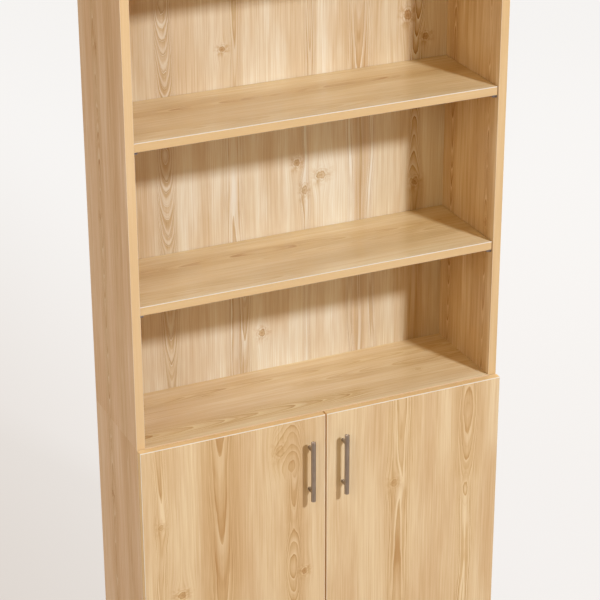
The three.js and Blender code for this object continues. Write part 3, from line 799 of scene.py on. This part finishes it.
# Light and dark tone, range of roughness, noise scales along the axes, and metal or not
fittingLooks = dict(
    handle_metal=((183, 174, 166), (164, 155, 146), (0.32, 0.44), (900, 900, 40), 1.0),
    hinge_steel=((196, 196, 198), (160, 160, 164), (0.22, 0.36), (300, 300, 300), 1.0),
    pin_steel=((176, 174, 188), (140, 140, 156), (0.25, 0.4), (60, 700, 700), 1.0),
    screw_steel=((190, 188, 180), (150, 148, 142), (0.25, 0.4), (500, 500, 500), 1.0),
    bracket_metal=((205, 206, 208), (172, 173, 176), (0.3, 0.45), (300, 900, 900), 1.0),
    bumper_rubber=((226, 222, 214), (206, 200, 190), (0.5, 0.65), (400, 400, 400), 0.0),
    glide_plastic=((70, 60, 52), (52, 44, 38), (0.45, 0.6), (400, 400, 400), 0.0),
    beech=((214, 176, 128), (178, 134, 88), (0.6, 0.75), (1500, 1500, 60), 0.0),
)
brushLook = dict(bump=0.1, bumpDepth=0.0001)

# The first word found in a piece's name tells what it is made of
fittingKinds = dict(
    shelf_pin="pin_steel", hinge="hinge_steel", screw="screw_steel", handle="handle_metal",
    dowel="beech", glide="glide_plastic", bumper="bumper_rubber", bracket="bracket_metal",
)


def fittingMaterial(name, look):
    light, dark, rough, stretch, metal = look
    material, tree, shader = newMaterial(name)
    wear = addGroup(tree, metalWear, {
        "Position": addNode(tree, "TexCoord").outputs["Object"], "Stretch": stretch,
        "Light": tone(*light), "Dark": tone(*dark), "Low": rough[0], "High": rough[1],
    })
    shader.inputs["Metallic"].default_value = metal
    finishSurface(tree, shader, wear["Color"], wear["Roughness"], wear["Height"], brushLook)
    return material


fittings = {name: fittingMaterial(name, look) for name, look in fittingLooks.items()}

for name in nodes:
    if name not in boardLooks:
        kind = next(kind for word, kind in fittingKinds.items() if word in name)
        dress(name, fittings[kind])
print("fittings dressed")


def deselect():
    bpy.ops.object.select_all(action="DESELECT")


def choose(piece):
    deselect()
    bpy.context.view_layer.objects.active = piece
    piece.select_set(True)


def addCylinder(radius, depth, place, sides, turn=(0, 0, 0)):
    deselect()
    bpy.ops.mesh.primitive_cylinder_add(
        vertices=sides, radius=radius, depth=depth, end_fill_type="NGON", location=place,
        rotation=[math.radians(angle) for angle in turn],
    )
    bpy.ops.object.transform_apply(location=True, rotation=True, scale=True)
    return bpy.context.active_object


def startEditing(piece):
    choose(piece)
    bpy.ops.object.mode_set(mode="EDIT")
    bpy.ops.mesh.select_mode(type="FACE")


def stopEditing():
    bpy.ops.object.mode_set(mode="OBJECT")


def pickFaces(piece, test):
    # selects only the faces whose normal passes the test
    bpy.ops.mesh.select_all(action="DESELECT")
    mesh = bmesh.from_edit_mesh(piece.data)
    for face in mesh.faces:
        face.select_set(bool(test(face.normal)))
    bmesh.update_edit_mesh(piece.data)


def pull(x=0, y=0, z=0):
    bpy.ops.mesh.extrude_region_move(TRANSFORM_OT_translate={"value": (x, y, z)})


def resize(centre, factor):
    bpy.ops.transform.resize(value=(factor, factor, 1), center_override=centre)


def roundEdges(width, segments):
    bpy.ops.mesh.bevel(offset=width, segments=segments, affect="EDGES")


def combine(piece, tool, operation):
    choose(piece)
    modifier = piece.modifiers.new("join", "BOOLEAN")
    modifier.operation = operation
    modifier.solver = "EXACT"
    modifier.object = tool
    bpy.ops.object.modifier_apply(modifier="join")
    bpy.data.objects.remove(tool)


def soften(piece, angle=32):
    choose(piece)
    bpy.ops.object.shade_smooth_by_angle(angle=math.radians(angle))


def finishPiece(piece, name, body, slotName):
    piece.name = name
    piece.data.name = name
    piece.data.materials.clear()
    piece.data.materials.append(fittings[slotName])
    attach(piece, body)
    return piece


def facing(outward):
    # turns a master, which points along +Z, to the given direction
    return Vector(outward).to_track_quat("Z", "Y").to_matrix().to_4x4()


def copyPiece(master, name, place, turn, body, slotName):
    piece = master.copy()
    piece.data = master.data.copy()
    bpy.context.collection.objects.link(piece)
    piece.data.transform(Matrix.Translation(place) @ turn)
    return finishPiece(piece, name, body, slotName)


# Bar handles: a round bar with eased ends on two posts, each with a bore for its screw
handleLook = dict(
    barRadius=0.005, barBevel=0.0007, barSides=64, postRadius=0.004, postSides=40,
    postInset=0.02, boreRadius=0.0021, boreDepth=0.010,
)


def makeHandle(side, look):
    low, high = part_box(side + "_handle")
    across = (low.x + high.x) / 2
    front = low.y + look["barRadius"]
    handle = addCylinder(
        look["barRadius"], high.z - low.z, (across, front, (low.z + high.z) / 2), look["barSides"],
    )
    startEditing(handle)
    pickFaces(handle, lambda normal: abs(normal.z) > 0.9)
    roundEdges(look["barBevel"], 4)
    stopEditing()
    for height in (low.z + look["postInset"], high.z - look["postInset"]):
        middle = (across, (front + high.y) / 2, height)
        length = high.y - front
        post = addCylinder(look["postRadius"], length, middle, look["postSides"], (90, 0, 0))
        startEditing(post)
        pickFaces(post, lambda normal: normal.y > 0.9)
        bpy.ops.mesh.inset(thickness=look["postRadius"] - look["boreRadius"], depth=0)
        pull(y=-look["boreDepth"])
        stopEditing()
        combine(handle, post, "UNION")
    soften(handle)
    finishPiece(handle, side + "_bar_handle", side + "_door", "handle_metal")
    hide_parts(side + "_handle")


for side in ("left", "right"):
    makeHandle(side, handleLook)
print("handles modelled")


# Cross recess of screws and cams: width of its arms, span and depth
def makeCross(width, span, depth, top, taper=0.45):
    deselect()
    bpy.ops.mesh.primitive_cube_add(size=1, location=(0, 0, top), scale=(width, width, 2 * depth))
    bpy.ops.object.transform_apply(location=True, rotation=True, scale=True)
    cross = bpy.context.active_object
    startEditing(cross)
    arm = (span - width) / 2
    for x, y in ((1, 0), (-1, 0), (0, 1), (0, -1)):
        pickFaces(cross, lambda normal: normal.x * x + normal.y * y > 0.9)
        pull(x=x * arm, y=y * arm)
    pickFaces(cross, lambda normal: normal.z < -0.9)
    resize((0, 0, top - depth), taper)
    stopEditing()
    return cross


# Pan-head screws of the hinges and the wall bracket, built once and copied
screwLook = dict(
    headRadius=0.0034, headHeight=0.0019, headBevel=0.0011, shankRadius=0.0016, shankLength=0.0085,
    tip=0.002, point=0.15, cross=(0.0008, 0.0036, 0.0012), sides=36,
)


def makeScrew(look):
    screw = addCylinder(
        look["headRadius"], look["headHeight"], (0, 0, look["headHeight"] / 2), look["sides"],
    )
    startEditing(screw)
    pickFaces(screw, lambda normal: normal.z > 0.9)
    roundEdges(look["headBevel"], 5)
    pickFaces(screw, lambda normal: normal.z < -0.9)
    bpy.ops.mesh.inset(thickness=look["headRadius"] - look["shankRadius"], depth=0)
    pull(z=-look["shankLength"])
    pull(z=-look["tip"])
    resize((0, 0, -look["shankLength"] - look["tip"]), look["point"])
    stopEditing()
    combine(screw, makeCross(*look["cross"], look["headHeight"]), "DIFFERENCE")
    soften(screw)
    return screw


hingeScrews = dict(
    cupSpread=0.0225,  # up and down from the hinge's middle
    caseHalf=0.4,
    cupInset=0.030,  # from the case's side
    plateSpread=0.016,
    plateBack=0.027,  # behind the plate's front end
    plateThickness=0.002,
    armBack=(0.038, 0.012),  # ahead of the arm's rear end
)
bracketScrews = dict(spread=0.012, leg=0.013, thickness=0.002)


def addScrew(name, place, outward, body):
    copyPiece(screwMaster, name, place, facing(outward), body, "screw_steel")


def addHingeScrews(side, inward, hinge, look):
    low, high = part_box(hinge + "cup")
    middle = (low.z + high.z) / 2
    across = -inward * look["caseHalf"] + inward * look["cupInset"]
    for word, way in (("under", -1), ("over", 1)):
        place = (across, high.y, middle + way * look["cupSpread"])
        addScrew(hinge + "cup_screw_" + word, place, (0, 1, 0), side + "_door")
    low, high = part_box(hinge + "plate")
    face = (low.x if inward > 0 else high.x) + inward * look["plateThickness"]
    for word, way in (("under", -1), ("over", 1)):
        place = (face, low.y + look["plateBack"], middle + way * look["plateSpread"])
        addScrew(hinge + "plate_screw_" + word, place, (inward, 0, 0), "carcass")
    low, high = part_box(hinge + "arm")
    face = high.x if inward > 0 else low.x
    for word, back in zip(("front", "rear"), look["armBack"]):
        place = (face, high.y - back, middle)
        addScrew(hinge + "arm_screw_" + word, place, (inward, 0, 0), "carcass")


screwMaster = makeScrew(screwLook)
for side, inward in (("left", 1), ("right", -1)):
    for level in ("lower", "upper"):
        addHingeScrews(side, inward, side + "_" + level + "_hinge_", hingeScrews)
low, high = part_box("wall_bracket")
for word, way in (("left", -1), ("right", 1)):
    back, under = high.y - bracketScrews["leg"], high.z - bracketScrews["thickness"]
    place = (way * bracketScrews["spread"], back, under)
    addScrew("wall_bracket_screw_" + word, place, (0, 0, -1), "carcass")
bpy.data.objects.remove(screwMaster)
print("screws modelled")

# Cam fittings in the undersides of the flat boards, built once and copied
camLook = dict(
    radius=0.0073, depth=0.0116, sunk=0.0003, bevel=0.0004, rim=0.0011, step=0.0005, slope=0.94,
    cross=(0.0014, 0.0062, 0.0022), sides=48,
    markRadius=0.0012, markDepth=0.0008, markReach=0.0046,
    caseHalf=0.382, reach=0.0241,  # reach from the side panel's inner face
    inset=0.060,  # from the case's front and rear edges
    caseDepth=0.236,
)


def makeCam(look):
    top = -look["sunk"]
    cam = addCylinder(look["radius"], look["depth"], (0, 0, top - look["depth"] / 2), look["sides"])
    startEditing(cam)
    pickFaces(cam, lambda normal: normal.z > 0.9)
    roundEdges(look["bevel"], 2)
    pickFaces(cam, lambda normal: normal.z > 0.95)
    bpy.ops.mesh.inset(thickness=look["rim"], depth=0)
    pull(z=-look["step"])
    resize((0, 0, top), look["slope"])
    stopEditing()
    floor = top - look["step"]
    combine(cam, makeCross(*look["cross"], floor), "DIFFERENCE")
    mark = addCylinder(look["markRadius"], look["markDepth"], (0, look["markReach"], floor), 3)
    combine(cam, mark, "DIFFERENCE")
    soften(cam)
    return cam


camMaster = makeCam(camLook)
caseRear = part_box("left_side_upper")[1].y
camRear = caseRear - camLook["inset"]
camFront = caseRear - camLook["caseDepth"] + camLook["inset"]
for board in ("top_panel", "fixed_shelf", "bottom_panel"):
    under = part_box(board)[0].z
    for side, way in (("left", -1), ("right", 1)):
        across = way * (camLook["caseHalf"] - camLook["reach"])
        for word, back in (("front", camFront), ("rear", camRear)):
            name = board + "_cam_" + side + "_" + word
            place = (across, back, under)
            copyPiece(camMaster, name, place, facing((0, 0, -1)), "carcass", "screw_steel")
bpy.data.objects.remove(camMaster)
print("cams modelled")

# Shelf pins: a shank in the side panel, a thin collar, and a head with a flat for the shelf
pinLook = dict(
    shankRadius=0.0025, shank=0.008, collarRadius=0.0046, collar=0.001, gap=0.0001,
    headRadius=0.0036, head=0.009, headBevel=0.0009, endBevel=0.0005, flat=0.0028, sides=40,
)


def makePin(look):
    # along +Z here, its flat towards +Y
    pin = addCylinder(look["shankRadius"], look["shank"], (0, 0, -look["shank"] / 2), look["sides"])
    startEditing(pin)
    pickFaces(pin, lambda normal: normal.z < -0.9)
    roundEdges(look["endBevel"], 2)
    pickFaces(pin, lambda normal: normal.z > 0.9)
    pull(z=look["gap"])
    pull()
    resize((0, 0, 0), look["collarRadius"] / look["shankRadius"])
    pull(z=look["collar"] - look["gap"])
    pull()
    resize((0, 0, 0), look["headRadius"] / look["collarRadius"])
    pull(z=look["head"] - look["collar"])
    roundEdges(look["headBevel"], 4)
    bpy.ops.mesh.select_all(action="SELECT")
    bpy.ops.mesh.bisect(
        plane_co=(0, look["flat"], 0), plane_no=(0, 1, 0), use_fill=True, clear_outer=True,
    )
    stopEditing()
    soften(pin)
    return pin


pinMaster = makePin(pinLook)
for shelf in ("upper", "middle", "cabinet"):
    for side, inward in (("left", 1), ("right", -1)):
        for word in ("front", "rear"):
            node = shelf + "_shelf_pin_" + side + "_" + word
            low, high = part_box(node)
            face = (low.x if inward > 0 else high.x) + inward * pinLook["shank"]
            place = Vector((face, (low.y + high.y) / 2, high.z - pinLook["flat"]))
            turn = Matrix(((0, 0, inward), (inward, 0, 0), (0, 1, 0))).to_4x4()
            pin = copyPiece(pinMaster, node + "_turned", place, turn, "carcass", "pin_steel")
            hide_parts(node)
bpy.data.objects.remove(pinMaster)
print("shelf pins modelled")

# Floor glides and door bumpers
glideLook = dict(radius=0.008, bevel=0.0011, stemRadius=0.002, stem=0.012, sides=40)
bumperLook = dict(bevel=0.0012, sides=36)


def makeGlide(node, look):
    low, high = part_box(node)
    across, back = (low.x + high.x) / 2, (low.y + high.y) / 2
    foot = high.z - look["stem"]
    middle = (across, back, (low.z + foot) / 2)
    glide = addCylinder(look["radius"], foot - low.z, middle, look["sides"])
    startEditing(glide)
    pickFaces(glide, lambda normal: normal.z < -0.9)
    roundEdges(look["bevel"], 4)
    pickFaces(glide, lambda normal: normal.z > 0.9)
    bpy.ops.mesh.inset(thickness=look["radius"] - look["stemRadius"], depth=0)
    pull(z=look["stem"])
    stopEditing()
    soften(glide)
    finishPiece(glide, node + "_moulded", "carcass", "glide_plastic")
    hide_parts(node)


def makeBumper(node, body, look):
    low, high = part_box(node)
    middle = (low + high) / 2
    bumper = addCylinder((high.x - low.x) / 2, high.y - low.y, middle, look["sides"], (90, 0, 0))
    startEditing(bumper)
    pickFaces(bumper, lambda normal: normal.y > 0.9)
    roundEdges(look["bevel"], 5)
    stopEditing()
    soften(bumper)
    finishPiece(bumper, node + "_domed", body, "bumper_rubber")
    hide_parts(node)


for side in ("left", "right"):
    for word in ("front", "rear"):
        makeGlide(side + "_glide_" + word, glideLook)
    makeBumper(side + "_door_bumper", side + "_door", bumperLook)
print("glides and bumpers modelled")


def mixShaders(tree, factor, first, second, output):
    mix = tree.nodes.new("ShaderNodeMixShader")
    feed(tree, mix.inputs[0], factor)
    tree.links.new(first.outputs[0], mix.inputs[1])
    tree.links.new(second.outputs[0], mix.inputs[2])
    tree.links.new(mix.outputs[0], output.inputs["Surface"])


# Floor: it glows for the camera only, and is warmer and dimmer for the light that it throws back
floorLook = dict(
    half=30,
    seen=(236, 233, 230),
    bounce=(211, 199, 185),
    rough=0.9,
    shine=0.1,
    glow=((222, 214, 207), (248, 246, 244)),  # painted shade and light, from the shaded side to the lamp's side
    glowSpan=(-1.1, 0.9),
    glowSlant=0.05,
    share=(0.8, 4.0, 0.83, 0.97),  # glow by distance: near, far, and its part at each
)


def addFloor(look):
    deselect()
    bpy.ops.mesh.primitive_plane_add(size=2 * look["half"], location=(0, 0, 0))
    floor = bpy.context.active_object
    floor.name = "floor"
    material, tree, shader = newMaterial("floor")
    shader.inputs["Roughness"].default_value = look["rough"]
    shader.inputs["Specular IOR Level"].default_value = look["shine"]
    place = addNode(tree, "TexCoord").outputs["Object"]
    parts = split(tree, place)
    lampward = plus(tree, parts["X"], times(tree, parts["Y"], look["glowSlant"]))
    shaded, lit = look["glow"]
    colour = blend(tree, fade(tree, lampward, *look["glowSpan"]), tone(*shaded), tone(*lit))
    glow = addNode(tree, "Emission", {"Color": colour, "Strength": 1.0})
    seen = addNode(tree, "LightPath").outputs["Is Camera Ray"]
    ground = blend(tree, seen, tone(*look["bounce"]), tone(*look["seen"]))
    feed(tree, shader.inputs["Base Color"], ground)
    away = vectorNode(tree, "LENGTH", place)["Value"]
    amount = times(tree, seen, fade(tree, away, *look["share"]))
    output = next(node for node in tree.nodes if node.type == "OUTPUT_MATERIAL")
    mixShaders(tree, amount, shader, glow, output)
    floor.data.materials.append(material)


# Soft studio light: a lamp at the front right, two broad fills on the left, and one for the rear
lampLooks = dict(
    lamp=dict(
        place=(2.325, -5.025, 5.05), aim=(0, 0, 1.15), size=0.51, power=290,
        tint=(0.98, 1.04, 1.19),
    ),
    fill=dict(
        place=(-2.6, -2.4, 2.9), aim=(0, 0, 1.1), size=2.0, power=34,
        tint=(1, 0.92, 0.76),
    ),
    side=dict(
        place=(-3.6, 0.2, 1.8), aim=(-0.4, 0, 1.1), size=2.0, power=23.3,
        tint=(1, 1.16, 1.5),
    ),
    rear=dict(
        place=(2.6, 3.4, 2.6), aim=(0, 0, 1.0), size=2.0, power=110,
        tint=(1, 0.98, 0.95),
    ),
)


def addLamp(name, look):
    data = bpy.data.lights.new(name, "AREA")
    data.size = look["size"]
    data.energy = look["power"]
    data.color = look["tint"]
    lamp = bpy.data.objects.new(name, data)
    bpy.context.collection.objects.link(lamp)
    lamp.location = look["place"]
    aim = Vector(look["aim"]) - Vector(look["place"])
    lamp.rotation_euler = aim.to_track_quat("-Z", "Y").to_euler()
    lamp.visible_glossy = name != "rear"  # no glare of the rear lamp on the top panel


# A dim surround, warm as a room's own light is, behind a bright backdrop for the camera
surroundLook = dict(strength=0.22, tint=(1, 0.54, 0.10, 1), backdrop=(246, 245, 244))


def addSurround(look):
    world = bpy.data.worlds.new("studio")
    world.use_nodes = True
    bpy.context.scene.world = world
    tree = world.node_tree
    tree.nodes.clear()
    dim = addNode(tree, "Background", {"Color": look["tint"], "Strength": look["strength"]})
    bright = addNode(tree, "Background", {"Color": tone(*look["backdrop"]), "Strength": 1.0})
    path = addNode(tree, "LightPath").outputs
    seen = calc(tree, "MAXIMUM", path["Is Camera Ray"], path["Is Transmission Ray"])
    mixShaders(tree, seen, dim, bright, tree.nodes.new("ShaderNodeOutputWorld"))


addFloor(floorLook)
for name, look in lampLooks.items():
    addLamp(name, look)
addSurround(surroundLook)
bpy.context.scene.view_settings.view_transform = "Standard"
print("studio ready")
